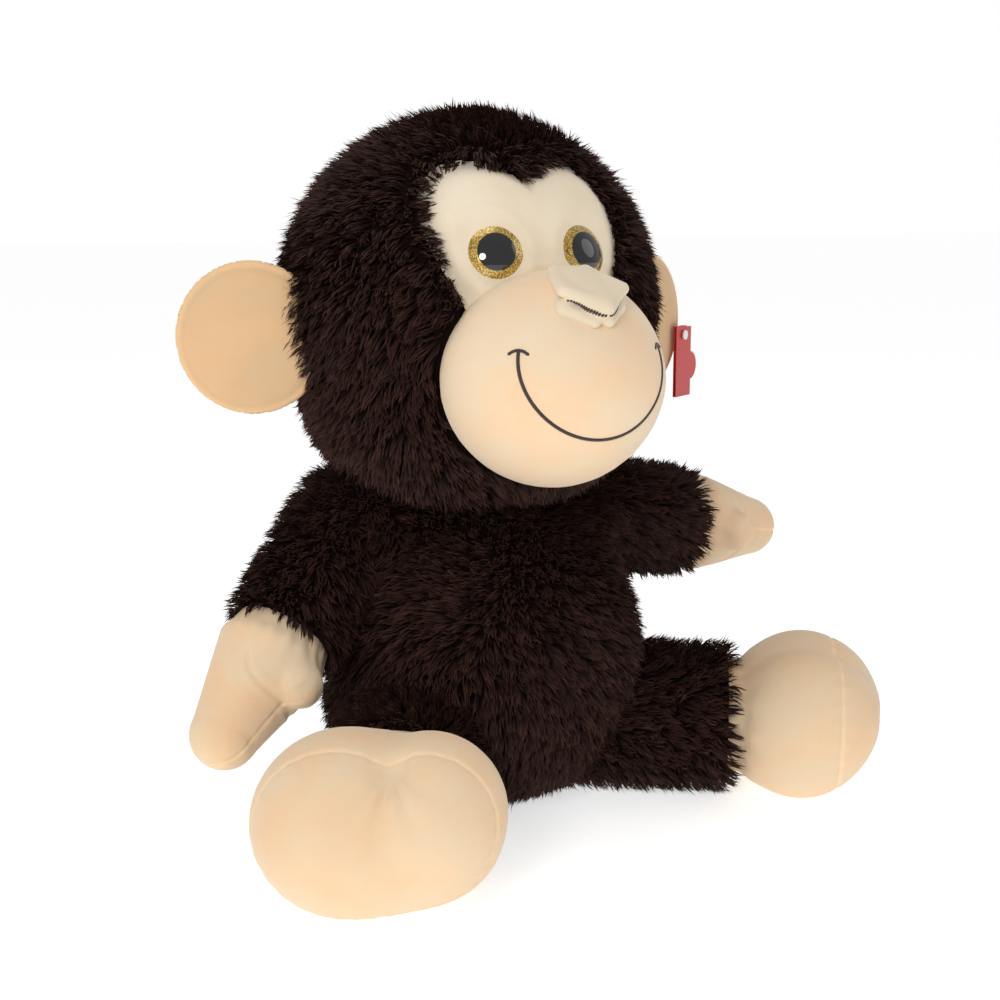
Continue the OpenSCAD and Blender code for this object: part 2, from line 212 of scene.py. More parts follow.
class Nodes:
    """A short way to add and join the nodes of one material."""

    def __init__(self, name):
        self.material = new_material(name)
        self.tree = self.material.node_tree
        self.shader = self.tree.nodes["Principled BSDF"]

    def add(self, kind, **values):
        node = self.tree.nodes.new(kind)
        for key, value in values.items():
            if hasattr(node, key):
                setattr(node, key, value)
            else:
                node.inputs[key.replace("_", " ")].default_value = value
        return node

    def join(self, source, target):
        self.tree.links.new(source, target)

    def position(self):
        return self.add("ShaderNodeNewGeometry").outputs["Position"]

    def object_coordinates(self):
        return self.add("ShaderNodeTexCoord").outputs["Object"]

    def noise(self, scale, detail=2.0, coordinates=None):
        node = self.add("ShaderNodeTexNoise")
        node.inputs["Scale"].default_value = scale
        node.inputs["Detail"].default_value = detail
        self.join(coordinates or self.object_coordinates(), node.inputs["Vector"])
        return node.outputs["Fac"]

    def attribute(self, name):
        return self.add("ShaderNodeAttribute", attribute_name=name).outputs["Fac"]

    def ramp(self, factor, stops):
        node = self.add("ShaderNodeValToRGB")
        elements = node.color_ramp.elements
        while len(elements) < len(stops):
            elements.new(0.5)
        for element, (place, colour) in zip(elements, stops):
            element.position = place
            element.color = (*colour, 1)
        self.join(factor, node.inputs["Fac"])
        return node.outputs["Color"]

    def mix(self, factor, first, second, blend="MIX"):
        node = self.add("ShaderNodeMix", data_type="RGBA", blend_type=blend)
        for socket, value in ((node.inputs[0], factor), (node.inputs[6], first), (node.inputs[7], second)):
            if isinstance(value, (int, float)):
                socket.default_value = value
            elif isinstance(value, tuple):
                socket.default_value = (*value, 1)
            else:
                self.join(value, socket)
        return node.outputs[2]

    def math(self, operation, first, second=0.5):
        node = self.add("ShaderNodeMath", operation=operation)
        for socket, value in zip(node.inputs, (first, second)):
            if isinstance(value, (int, float)):
                socket.default_value = value
            else:
                self.join(value, socket)
        return node.outputs[0]

    def bump(self, height, strength, distance, after=None):
        node = self.add("ShaderNodeBump")
        node.inputs["Strength"].default_value = strength
        node.inputs["Distance"].default_value = distance
        self.join(height, node.inputs["Height"])
        if after is not None:
            self.join(after, node.inputs["Normal"])
        return node.outputs["Normal"]

    def set(self, **values):
        for key, value in values.items():
            self.shader.inputs[key.replace("_", " ")].default_value = value


def fur_strand_material():
    n = Nodes("fur_strands")
    tip = n.attribute("tip")
    shade = n.attribute("shade")
    # Along each ribbon the colour runs from near black at the root, painted shade deep in the pile, to a
    # lighter tip, painted sheen; dark and warm are two random tones of hair.
    dark_hair_shade_to_sheen = [(0.0, (0.005, 0.0025, 0.002)), (0.55, (0.022, 0.009, 0.007)), (1.0, (0.052, 0.021, 0.015))]
    warm_hair_shade_to_sheen = [(0.0, (0.007, 0.0035, 0.003)), (0.55, (0.038, 0.015, 0.011)), (1.0, (0.105, 0.043, 0.030))]
    dark = n.ramp(tip, dark_hair_shade_to_sheen)
    warm = n.ramp(tip, warm_hair_shade_to_sheen)
    n.join(n.mix(shade, dark, warm), n.shader.inputs["Base Color"])
    n.set(Roughness=0.65, Sheen_Weight=0.08, Sheen_Roughness=0.5, Sheen_Tint=(0.5, 0.25, 0.18, 1))
    n.shader.inputs["Specular IOR Level"].default_value = 0.15
    return n.material


def shadowed_backing_material():
    # The backing is coloured near black: painted shade that shows in the gaps between the ribbons.
    n = Nodes("fur_backing_painted_shade")
    fine = n.noise(900, 3)
    colour = n.ramp(fine, [(0.3, (0.004, 0.002, 0.0015)), (0.8, (0.012, 0.0055, 0.004))])
    n.join(colour, n.shader.inputs["Base Color"])
    n.set(Roughness=0.95)
    n.shader.inputs["Specular IOR Level"].default_value = 0.05
    n.join(n.bump(fine, 0.6, 1.2 * MM), n.shader.inputs["Normal"])
    return n.material


def velour_material(name, base, warm, shadow):
    """Short velour: cloudy patches of painted light and shade, fine streaks of painted shade, a fine pile
    bump and a soft sheen, and painted sheen that makes it lighter along its seams.
    """
    n = Nodes(name)
    clouds = n.noise(26, 3)
    streaks = n.noise(140, 4)
    # Cloudy patches between the shadow and warm colours: painted shade and painted light.
    light_and_shade_clouds = n.ramp(clouds, [(0.32, shadow), (0.5, base), (0.68, warm)])
    # Fine streaks darkened towards the shadow colour: painted shade in the pile.
    shade_clouds_and_streaks = n.mix(n.ramp(streaks, [(0.35, (0, 0, 0)), (0.75, (0.22, 0.22, 0.22))]), light_and_shade_clouds, shadow)
    # A lighter copy of the base colour: painted sheen along the seams and on the ear rims.
    painted_sheen_colour = tuple(min(1.0, c * 1.12) for c in base)
    seam_and_sheen = n.attribute("seam_and_sheen")
    n.join(n.mix(seam_and_sheen, shade_clouds_and_streaks, painted_sheen_colour), n.shader.inputs["Base Color"])
    n.set(Roughness=0.8, Sheen_Weight=0.35, Sheen_Roughness=0.45, Sheen_Tint=(1, 0.95, 0.88, 1))
    n.shader.inputs["Specular IOR Level"].default_value = 0.2
    pile = n.noise(2600, 2)
    soft = n.bump(streaks, 0.25, 0.9 * MM)
    n.join(n.bump(pile, 0.35, 0.35 * MM, soft), n.shader.inputs["Normal"])
    return n.material


def thread_material():
    n = Nodes("embroidery_thread")
    twist = n.noise(1400, 2)
    colour = n.ramp(twist, [(0.3, (0.012, 0.005, 0.004)), (0.8, (0.055, 0.024, 0.018))])
    n.join(colour, n.shader.inputs["Base Color"])
    n.set(Roughness=0.5, Sheen_Weight=0.3)
    n.join(n.bump(twist, 0.5, 0.3 * MM), n.shader.inputs["Normal"])
    return n.material


def glitter_material():
    n = Nodes("gold_glitter")
    flakes = n.add("ShaderNodeTexVoronoi")
    flakes.inputs["Scale"].default_value = 2300
    n.join(n.object_coordinates(), flakes.inputs["Vector"])
    sparkle = n.add("ShaderNodeSeparateColor")
    n.join(flakes.outputs["Color"], sparkle.inputs[0])
    colour = n.ramp(
        sparkle.outputs[0],
        [
            (0.0, (0.10, 0.045, 0.004)), (0.35, (0.38, 0.21, 0.015)),
            (0.7, (0.68, 0.42, 0.045)), (1.0, (1.0, 0.82, 0.30)),
        ],
    )
    n.join(colour, n.shader.inputs["Base Color"])
    n.set(Metallic=0.55, Roughness=0.3, Coat_Weight=1.0, Coat_Roughness=0.03)
    n.join(n.bump(sparkle.outputs[1], 0.7, 0.4 * MM), n.shader.inputs["Normal"])
    return n.material


def gloss_material(name, colour, roughness=0.08):
    n = Nodes(name)
    haze = n.noise(90, 2)
    light = tuple(c * 1.6 + 0.002 for c in colour)
    n.join(n.mix(haze, colour, light), n.shader.inputs["Base Color"])
    n.set(Roughness=roughness, Coat_Weight=1.0, Coat_Roughness=0.02)
    return n.material


def card_material(name, colour, grain):
    n = Nodes(name)
    fibre = n.noise(700, 3)
    n.join(n.mix(fibre, colour, grain), n.shader.inputs["Base Color"])
    n.set(Roughness=0.38, Coat_Weight=0.25, Coat_Roughness=0.2)
    n.join(n.bump(fibre, 0.12, 0.2 * MM), n.shader.inputs["Normal"])
    return n.material


# ---------------------------------------------------------------- distance fields and meshes


def ellipsoid(points, centre, radii):
    """Distance to an ellipsoid, close to true near its surface."""
    scaled = (points - np.asarray(centre)) / np.asarray(radii)
    length = np.linalg.norm(scaled, axis=1)
    slope = np.linalg.norm(scaled / np.asarray(radii), axis=1)
    return length * (length - 1) / np.maximum(slope, 1e-9)


def round_cone(points, start, end, start_radius, end_radius):
    """Distance to a tapered capsule."""
    line = end - start
    share = np.clip((points - start) @ line / (line @ line), 0, 1)
    nearest = start + share[:, None] * line
    radius = start_radius + share * (end_radius - start_radius)
    return np.linalg.norm(points - nearest, axis=1) - radius


def soft_union(first, second, softness):
    mix = np.clip(0.5 + 0.5 * (second - first) / softness, 0, 1)
    return second + (first - second) * mix - softness * mix * (1 - mix)


def soft_cut(first, second, softness):
    """What is inside first and outside second."""
    return -soft_union(-first, second, softness)


def gradient(field, points, step=0.2 * MM):
    slopes = []
    for axis in range(3):
        shift = np.zeros(3)
        shift[axis] = step
        slopes.append((field(points + shift) - field(points - shift)) / (2 * step))
    return np.stack(slopes, 1)


def settle(field, points, rounds=4):
    """Moves points onto the zero surface of the field, and gives the normals there."""
    for _ in range(rounds):
        slope = gradient(field, points)
        square = np.maximum((slope**2).sum(1), 1e-6)
        points = points - slope * (field(points) / square)[:, None]
    slope = gradient(field, points)
    return points, slope / np.maximum(np.linalg.norm(slope, axis=1), 1e-9)[:, None]


def surface_mesh(field, low, high, cell):
    """Quads around the zero surface of a field: one point per crossed cell, one quad per crossed edge."""
    low = np.asarray(low, float) - 2 * cell
    count = np.ceil((np.asarray(high, float) + 2 * cell - low) / cell).astype(int) + 1
    axes = [low[a] + cell * np.arange(count[a]) for a in range(3)]
    grid = np.stack(np.meshgrid(*axes, indexing="ij"), -1)
    values = field(grid.reshape(-1, 3)).reshape(count)
    inside = values < 0
    corners = [inside[i:count[0] - 1 + i, j:count[1] - 1 + j, k:count[2] - 1 + k]
               for i in (0, 1) for j in (0, 1) for k in (0, 1)]
    total = sum(c.astype(int) for c in corners)
    crossed = (total > 0) & (total < 8)
    number = -np.ones(crossed.shape, int)
    number[crossed] = np.arange(crossed.sum())
    points = low + cell * (np.argwhere(crossed) + 0.5)
    quads = []
    for axis in range(3):
        b, c = (axis + 1) % 3, (axis + 2) % 3
        first = [slice(None)] * 3
        second = [slice(None)] * 3
        first[axis], second[axis] = slice(0, -1), slice(1, None)
        for other in (b, c):
            first[other] = second[other] = slice(1, -1)
        here, there = inside[tuple(first)], inside[tuple(second)]
        for sign, edge in ((1, here & ~there), (-1, ~here & there)):
            at = np.argwhere(edge)
            at[:, b] += 1
            at[:, c] += 1
            ring = []
            for shift_b, shift_c in ((-1, -1), (0, -1), (0, 0), (-1, 0)):
                cell_at = at.copy()
                cell_at[:, b] += shift_b
                cell_at[:, c] += shift_c
                ring.append(number[cell_at[:, 0], cell_at[:, 1], cell_at[:, 2]])
            quad = np.stack(ring, 1)
            quads.append(quad if sign > 0 else quad[:, ::-1])
    points, _ = settle(field, points)
    return points, np.concatenate(quads)


def make_object(name, points, faces, material, smooth=True):
    mesh = bpy.data.meshes.new(name)
    mesh.from_pydata(np.asarray(points).tolist(), [], [list(map(int, f)) for f in faces])
    mesh.validate()
    mesh.materials.append(material)
    mesh.polygons.foreach_set("use_smooth", [smooth] * len(mesh.polygons))
    piece = bpy.data.objects.new(name, mesh)
    bpy.context.scene.collection.objects.link(piece)
    return piece


def coordinates(piece):
    flat = np.empty(len(piece.data.vertices) * 3)
    piece.data.vertices.foreach_get("co", flat)
    return flat.reshape(-1, 3)


def normals_of(piece):
    flat = np.empty(len(piece.data.vertices) * 3)
    piece.data.vertices.foreach_get("normal", flat)
    return flat.reshape(-1, 3)


def set_coordinates(piece, points):
    piece.data.vertices.foreach_set("co", np.asarray(points, float).ravel())
    piece.data.update()


def set_attribute(piece, name, values):
    layer = piece.data.attributes.get(name) or piece.data.attributes.new(name, "FLOAT", "POINT")
    layer.data.foreach_set("value", np.asarray(values, np.float32))


def subdivide(piece, levels=1):
    modifier = piece.modifiers.new("finer", "SUBSURF")
    modifier.levels = modifier.render_levels = levels
    apply_modifiers(piece)


def apply_modifiers(piece):
    graph = bpy.context.evaluated_depsgraph_get()
    mesh = bpy.data.meshes.new_from_object(piece.evaluated_get(graph), depsgraph=graph)
    piece.modifiers.clear()
    old = piece.data
    piece.data = mesh
    mesh.name = piece.name
    bpy.data.meshes.remove(old)


def inflate(piece, pinned, pressure=500.0, reach=4 * MM, frames=20):
    """Fills a closed cover by cloth simulation; sewn points are held and the rest stay within reach.

    The pressure is high and the vertices light because the covers are small: at the usual values
    the cloth does not move. Even so it moves them by under 1 mm on average.
    """
    before = coordinates(piece)
    held = piece.vertex_groups.new(name="sewn")
    held.add(np.nonzero(pinned)[0].tolist(), 1.0, "REPLACE")
    cloth = piece.modifiers.new("filling", "CLOTH")
    cloth.settings.quality = 6
    cloth.settings.mass = 0.002
    cloth.settings.tension_stiffness = cloth.settings.compression_stiffness = 1.5
    cloth.settings.bending_stiffness = 0.05
    cloth.settings.vertex_group_mass = "sewn"
    cloth.settings.use_pressure = True
    cloth.settings.uniform_pressure_force = pressure
    cloth.settings.effector_weights.gravity = 0
    cloth.point_cache.frame_start = 1
    cloth.point_cache.frame_end = frames
    for number in range(1, frames + 1):
        bpy.context.scene.frame_set(number)
    apply_modifiers(piece)
    bpy.context.scene.frame_set(1)
    move = coordinates(piece) - before
    length = np.maximum(np.linalg.norm(move, axis=1), 1e-9)
    set_coordinates(piece, before + move * np.minimum(1, reach / length)[:, None])


def hill(values, width):
    return np.exp(-((values / width) ** 2))


def smoothstep(values, low, high):
    share = np.clip((values - low) / (high - low), 0, 1)
    return share * share * (3 - 2 * share)


# ---------------------------------------------------------------- the body's own surfaces


def head_field(points):
    skull = ellipsoid(points, HEAD + [0, 3 * MM, 0], (HEAD_RADIUS, HEAD_RADIUS - 6 * MM, HEAD_RADIUS))
    jowls = ellipsoid(points, NECK + [0, -6 * MM, -8 * MM], (90 * MM, 82 * MM, 54 * MM))
    return soft_union(skull, jowls, 16 * MM)


def torso_field(points):
    belly = ellipsoid(points, (0, -19 * MM, 90 * MM), (84 * MM, 84 * MM, 84 * MM))
    chest = ellipsoid(points, (0, 0, 124 * MM), (74 * MM, 66 * MM, 62 * MM))
    base = ellipsoid(points, (0, 4 * MM, 50 * MM), (80 * MM, 80 * MM, 46 * MM))
    body = soft_union(soft_union(belly, chest, 14 * MM), base, 20 * MM)
    for side in (-1, 1):
        body = soft_union(body, ellipsoid(points, (side * 58 * MM, 0, 154 * MM), (34 * MM,) * 3), 20 * MM)
    return body


def sleeve_field(arm):
    def field(points):
        return round_cone(
            points, arm.place(0, 0, -10 * MM), arm.place(0, 0, SLEEVE_LENGTH - 6 * MM), 30 * MM, 28 * MM
        )
    return field


def leg_field(leg):
    def field(points):
        return round_cone(
            points, leg.place(0, 0, -6 * MM), leg.place(0, -1.5 * MM, LEG_LENGTH - 12 * MM), 39 * MM, 37 * MM
        )
    return field


# ---------------------------------------------------------------- fur


def triangles_of(piece):
    piece.data.calc_loop_triangles()
    flat = np.empty(len(piece.data.loop_triangles) * 3, int)
    piece.data.loop_triangles.foreach_get("vertices", flat)
    return flat.reshape(-1, 3)


def scatter(piece, spacing_area, random):
    """Random places on a mesh, one per spacing_area on average, with their normals."""
    points, normals, triangles = coordinates(piece), normals_of(piece), triangles_of(piece)
    a, b, c = (points[triangles[:, i]] for i in range(3))
    area = np.linalg.norm(np.cross(b - a, c - a), axis=1) / 2
    amount = int(area.sum() / spacing_area)
    pick = np.searchsorted(np.cumsum(area) / area.sum(), random.random(amount))
    pick = np.minimum(pick, len(area) - 1)
    u, v = random.random(amount), random.random(amount)
    fold = u + v > 1
    u[fold], v[fold] = 1 - u[fold], 1 - v[fold]
    w = 1 - u - v
    corner = triangles[pick]
    shares = (w[:, None], u[:, None], v[:, None])
    place = sum(points[corner[:, number]] * share for number, share in enumerate(shares))
    normal = sum(normals[corner[:, number]] * share for number, share in enumerate(shares))
    return place, normal / np.linalg.norm(normal, axis=1)[:, None]


def sideways(vectors, normals):
    """The part of each vector that lies in the surface, at unit length."""
    flat = vectors - normals * (vectors * normals).sum(1)[:, None]
    return flat / np.maximum(np.linalg.norm(flat, axis=1), 1e-9)[:, None]


def nearest_of(places, centres):
    tree = kdtree.KDTree(len(centres))
    for i, centre in enumerate(centres):
        tree.insert(centre, i)
    tree.balance()
    return np.array([tree.find(p)[1] for p in places])


STRAND_AREA = 2.0 * MM * MM  # skin that one ribbon covers
CLUMP_AREA = 26 * MM * MM


def grow_fur(name, skin, keep, comb, seed, length=PILE, lean=0.75):
    """A coat of tapered ribbons on the skin: combed, curved, and drawn together into small tufts."""
    random = np.random.default_rng(seed)
    root, normal = scatter(skin, STRAND_AREA, random)
    kept = random.random(len(root)) < keep(root)
    root, normal = root[kept], normal[kept]
    centre, centre_normal = scatter(skin, CLUMP_AREA, random)
    owner = nearest_of(root, centre)
    flow = sideways(comb(centre), centre_normal)
    stray = sideways(random.normal(size=centre.shape), centre_normal)
    clump_lean = lean * (0.8 + 0.5 * random.random(len(centre)))
    clump_way = flow + 0.55 * stray
    clump_tip = centre + (centre_normal + clump_way * clump_lean[:, None]) * (
        length * 0.78 * (0.9 + 0.2 * random.random(len(centre)))
    )[:, None]
    own_way = sideways(comb(root), normal) + 0.5 * random.normal(size=root.shape)
    reach = length * (0.72 + 0.4 * random.random(len(root)))
    own_tip = root + (normal + own_way * lean) * (reach * 0.78)[:, None]
    pull = (0.35 + 0.35 * random.random(len(root)))[:, None]
    tip = own_tip * (1 - pull) + clump_tip[owner] * pull
    middle_point = root * 0.45 + tip * 0.55 + normal * (reach * 0.12)[:, None]
    ride_way = tip - root
    side = np.cross(ride_way, normal)
    side /= np.maximum(np.linalg.norm(side, axis=1), 1e-9)[:, None]
    twist = (random.random(len(root)) - 0.5) * 1.6
    side = side * np.cos(twist)[:, None] + normal * np.sin(twist)[:, None]
    half = ((0.42 + 0.22 * random.random(len(root))) * MM * math.sqrt(STRAND_AREA / (1.5 * MM * MM)))[:, None]
    points = np.stack([
        root - side * half - normal * 0.8 * MM, root + side * half - normal * 0.8 * MM,
        middle_point + side * half * 0.8, middle_point - side * half * 0.8, tip,
    ], 1).reshape(-1, 3)
    base = np.arange(len(root))[:, None] * 5
    quads = base + np.array([[0, 1, 2, 3]])
    tris = base + np.array([[3, 2, 4]])
    clump_shade = 0.28 * random.normal(size=len(centre))[owner]
    own_shade = 0.18 * random.normal(size=len(root))
    shade = np.clip(0.35 + clump_shade + own_shade, 0, 1)
    return strand_mesh(name, points, quads, tris, shade)


def strand_mesh(name, points, quads, tris, shade):
    """Builds the ribbons with their shade and tip attributes, and a map that holds the same two numbers."""
    amount = len(quads)
    mesh = bpy.data.meshes.new(name)
    mesh.vertices.add(len(points))
    mesh.vertices.foreach_set("co", points.ravel())
    loops = np.concatenate([quads, tris], 1).ravel()
    mesh.loops.add(len(loops))
    mesh.loops.foreach_set("vertex_index", loops.astype(np.int32))
    starts = (np.arange(amount)[:, None] * 7 + np.array([[0, 4]])).ravel()
    mesh.polygons.add(amount * 2)
    mesh.polygons.foreach_set("loop_start", starts.astype(np.int32))
    mesh.polygons.foreach_set("use_smooth", np.ones(amount * 2, bool))
    mesh.update(calc_edges=True)
    mesh.materials.append(FUR)
    piece = bpy.data.objects.new(name, mesh)
    bpy.context.scene.collection.objects.link(piece)
    tips = np.tile([0.0, 0.0, 0.5, 0.5, 1.0], amount)
    set_attribute(piece, "tip", tips)
    set_attribute(piece, "shade", np.repeat(shade, 5))
    across = np.tile([-1.0, 1.0, 1.0, -1.0, 0.0], amount) * 0.004
    uv = np.stack([0.01 + 0.98 * np.repeat(shade, 5) * 0.98 + across, 0.01 + 0.98 * tips], 1)[loops]
    layer = mesh.uv_layers.new(name="OFBake")
    layer.data.foreach_set("uv", uv.ravel().astype(np.float32))
    return piece


def fur_skin(name, field, low, high, cell=4 * MM):
    points, faces = surface_mesh(field, low, high, cell)
    return make_object(name, points, faces, SHADOWED_BACKING)


# ---------------------------------------------------------------- the face mask outline

MASK_POINTS = [
    (0, 68), (9, 74), (21, 78), (35, 76), (46, 69), (53, 59), (55, 46), (53, 34), (49, 23), (43, 12), (36, 1),
]


def mask_outline(samples=96):
    """A smooth closed outline of the mask in front view, around a centre between the eyes."""
    half = np.array(MASK_POINTS, float)
    whole = np.concatenate([half, np.array([(0, -14)]), half[:0:-1] * [-1, 1]])
    dense = []
    count = len(whole)
    for i in range(count):
        p0, p1, p2, p3 = (whole[(i + k - 1) % count] for k in range(4))
        if i == 0 or i == count - 1:
            p0, p3 = (p1, p3) if i == 0 else (p0, p2)
        for t in np.linspace(0, 1, 12, endpoint=False):
            dense.append(0.5 * (2 * p1 + (p2 - p0) * t + (2 * p0 - 5 * p1 + 4 * p2 - p3) * t**2
                                + (3 * p1 - p0 - 3 * p2 + p3) * t**3))
    dense = np.array(dense)
    centre = np.array([0.0, 32.0])
    angle = np.arctan2(dense[:, 1] - centre[1], dense[:, 0] - centre[0])
    radius = np.linalg.norm(dense - centre, axis=1)
    order = np.argsort(angle)
    angles = np.linspace(-math.pi, math.pi, samples, endpoint=False)
    radii = np.interp(angles, angle[order], radius[order], period=2 * math.pi)
    return centre * MM, angles, radii * MM


MASK_CENTRE, MASK_ANGLES, MASK_RADII = mask_outline()


def mask_share(points):
    """0 at the middle of the mask, 1 at its outline, more outside, in front view."""
    x = points[:, 0] - MASK_CENTRE[0]
    z = points[:, 2] - HEAD[2] - MASK_CENTRE[1]
    limit = np.interp(np.arctan2(z, x), MASK_ANGLES, MASK_RADII, period=2 * math.pi)
    return np.hypot(x, z) / limit


def muzzle_field(points):
    dome = ellipsoid(points, MUZZLE, (61 * MM, 60 * MM, 58 * MM))
    return dome


def muzzle_keep_out(points):
    return muzzle_field(points) < 1.5 * MM


def head_fur_kept(points):
    front = points[:, 1] < 0
    bare = front & (mask_share(points) < 1.0)
    return np.where(bare | muzzle_keep_out(points), 0.0, 1.0)


def comb_down(points):
    """The pile lies downwards and a little back, with slow swirls."""
    swirl = np.stack([
        np.sin(points[:, 2] * 47 + points[:, 1] * 31),
        np.sin(points[:, 0] * 41 + points[:, 2] * 29) + 0.5,
        np.sin(points[:, 0] * 37 - points[:, 1] * 43) - 1.7,
    ], 1)
    return swirl


def make_head_fur():
    reach = HEAD_RADIUS + 8 * MM
    skin = fur_skin("head_backing", head_field, HEAD - [reach, reach, reach + 30 * MM], HEAD + reach)
    points = coordinates(skin)
    away = points - FACE
    distance = np.linalg.norm(away, axis=1)
    sunk = FACE_RADIUS - 2.5 * MM
    covered = (points[:, 1] < 0) & (mask_share(points) < 1.12) & (distance > sunk)
    set_coordinates(skin, np.where(covered[:, None], FACE + away * (sunk / distance)[:, None], points))
    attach(skin, "head")
    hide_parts("head_filling")
    for side, name in ((1, "left"), (-1, "right")):
        for top, level in ((1, "crown"), (-1, "cheek")):
            def keep(points, side=side, top=top):
                half = (points[:, 0] * side >= 0) & ((points[:, 2] - HEAD[2]) * top >= 0)
                return head_fur_kept(points) * half
            coat = grow_fur(f"head_fur_{level}_{name}", skin, keep, comb_down, 11 + side + 4 * top)
            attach(coat, "head")
    for name in ("left", "right"):
        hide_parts("head_cover_" + name)
    return skin


def make_torso_fur():
    skin = fur_skin("torso_backing", torso_field, (-0.1, -0.12, 0), (0.1, 0.1, 0.2))
    points = coordinates(skin)
    points[:, 2] = np.maximum(points[:, 2], 1.5 * MM)
    set_coordinates(skin, points)
    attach(skin, "torso")
    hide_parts("torso_filling", "neck_filling")
    for face, name in ((-1, "front"), (1, "back")):
        def keep(points, face=face):
            hidden = head_field(points) < -6 * MM
            for limb in (sleeve_field(arms["left"]), sleeve_field(arms["right"]),
                         leg_field(legs["left"]), leg_field(legs["right"])):
                hidden |= limb(points) < -6 * MM
            under = points[:, 2] < 4 * MM
            return ((points[:, 1] * face >= 0) & ~hidden & ~under).astype(float)
        coat = grow_fur("torso_fur_" + name, skin, keep, comb_down, 31 + face)
        drop_to_floor(coat)
        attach(coat, "torso")
        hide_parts("torso_cover_" + name)


def drop_to_floor(piece, floor=0.3 * MM):
    """Presses whatever would reach through the floor flat onto it."""
    points = coordinates(piece)
    points[:, 2] = np.where(points[:, 2] < floor, floor + 0.02 * (points[:, 2] - floor), points[:, 2])
    points[:, 2] = np.maximum(points[:, 2], 0.05 * MM)
    set_coordinates(piece, points)


CUFF = 7 * MM  # the fur skin stops this far before the seam, because its pile lies over it


def make_limb_fur(limb, name, field, length, filling, cover, seed, start, end):
    reach = 50 * MM
    ends = np.array([limb.place(0, 0, -reach), limb.place(0, 0, length + reach)])
    def cut_field(points):
        _, _, along = limb.local(points)
        return np.maximum(field(points), along - length + CUFF)
    skin = fur_skin(name + "_backing", cut_field, ends.min(0) - reach, ends.max(0) + reach, 3.5 * MM)
    drop_to_floor(skin, 1.0 * MM)
    def keep(points):
        _, _, along = limb.local(points)
        inside_torso = torso_field(points) < -8 * MM
        open_end = along > length - CUFF - 0.8 * MM
        return (~inside_torso & ~open_end).astype(float)
    def comb(points):
        return limb.along + 0.35 * np.stack([
            np.sin(points[:, 2] * 61), np.sin(points[:, 0] * 53), np.sin(points[:, 1] * 57) - 0.8,
        ], 1)
    coat = grow_fur(name + "_fur", skin, keep, comb, seed)
    drop_to_floor(coat)
    for piece in (skin, coat):
        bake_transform(piece)
    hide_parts(filling)
    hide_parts(cover)


# ---------------------------------------------------------------- face


def on_face(x, z, lift):
    """Points of the face's ball behind (x, z), seen from the front, lifted along the normal."""
    radius = FACE_RADIUS
    away = np.hypot(x - FACE[0], z - FACE[2])
    inwards = np.minimum(1.0, 0.97 * radius / np.maximum(away, 1e-9))
    x = FACE[0] + (x - FACE[0]) * inwards
    z = FACE[2] + (z - FACE[2]) * inwards
    depth = np.sqrt(radius**2 - (x - FACE[0]) ** 2 - (z - FACE[2]) ** 2)
    points = np.stack([x, FACE[1] - depth, z], 1)
    normal = unit_rows(points - FACE)
    return points + normal * lift[:, None]


def unit_rows(rows):
    return rows / np.maximum(np.linalg.norm(rows, axis=1), 1e-9)[:, None]


def eye_centre(name):
    return middle("eye_pupil_" + name)


def make_mask():
    rings, spokes = 60, 192
    angles = np.linspace(-math.pi, math.pi, spokes, endpoint=False)
    edge = np.interp(angles, MASK_ANGLES, MASK_RADII, period=2 * math.pi)
    shares = np.linspace(0, 1.06, rings) ** 0.9
    points, seam_and_sheen = [np.array([[MASK_CENTRE[0], 0, HEAD[2] + MASK_CENTRE[1]]])], [np.zeros(1)]
    all_x, all_z, all_share = [np.zeros(1)], [np.full(1, HEAD[2] + MASK_CENTRE[1])], [np.zeros(1)]
    for share in shares[1:]:
        all_x.append(MASK_CENTRE[0] + np.cos(angles) * edge * share)
        all_z.append(HEAD[2] + MASK_CENTRE[1] + np.sin(angles) * edge * share)
        all_share.append(np.full(spokes, share))
    x, z, share = (np.concatenate(v) for v in (all_x, all_z, all_share))
    lift = 4.2 * MM * (1 - smoothstep(share, 0.78, 1.06))
    for name in ("left", "right"):
        centre = eye_centre(name)
        away = np.hypot(x - centre[0], z - centre[2])
        lift -= 3.4 * MM * hill(away, 15 * MM)
        lift += 0.7 * MM * hill(away - 20 * MM, 3.5 * MM)
    eye_level = eye_centre("left")[2]
    height = z - eye_level
    folds = np.sin(height / (1.5 * MM) + 1.1 * (x / (14 * MM)) ** 2)
    lift += 0.55 * MM * folds * hill(x, 11 * MM) * hill(height + 7 * MM, 9 * MM)
    lift -= 1.6 * MM * hill(x, 10 * MM) * hill(height + 4 * MM, 16 * MM)
    points = on_face(x, z, lift)
    faces = [(0, 1 + (i + 1) % spokes, 1 + i) for i in range(spokes)]
    for ring in range(rings - 2):
        a, b = 1 + ring * spokes, 1 + (ring + 1) * spokes
        for i in range(spokes):
            j = (i + 1) % spokes
            faces.append((a + i, a + j, b + j, b + i))
    mask = make_object("face_mask_velour", points, faces, VELOUR_FACE)
    set_attribute(mask, "seam_and_sheen", np.zeros(len(points)))
    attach(mask, "head")
    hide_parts("face_mask")
    return mask


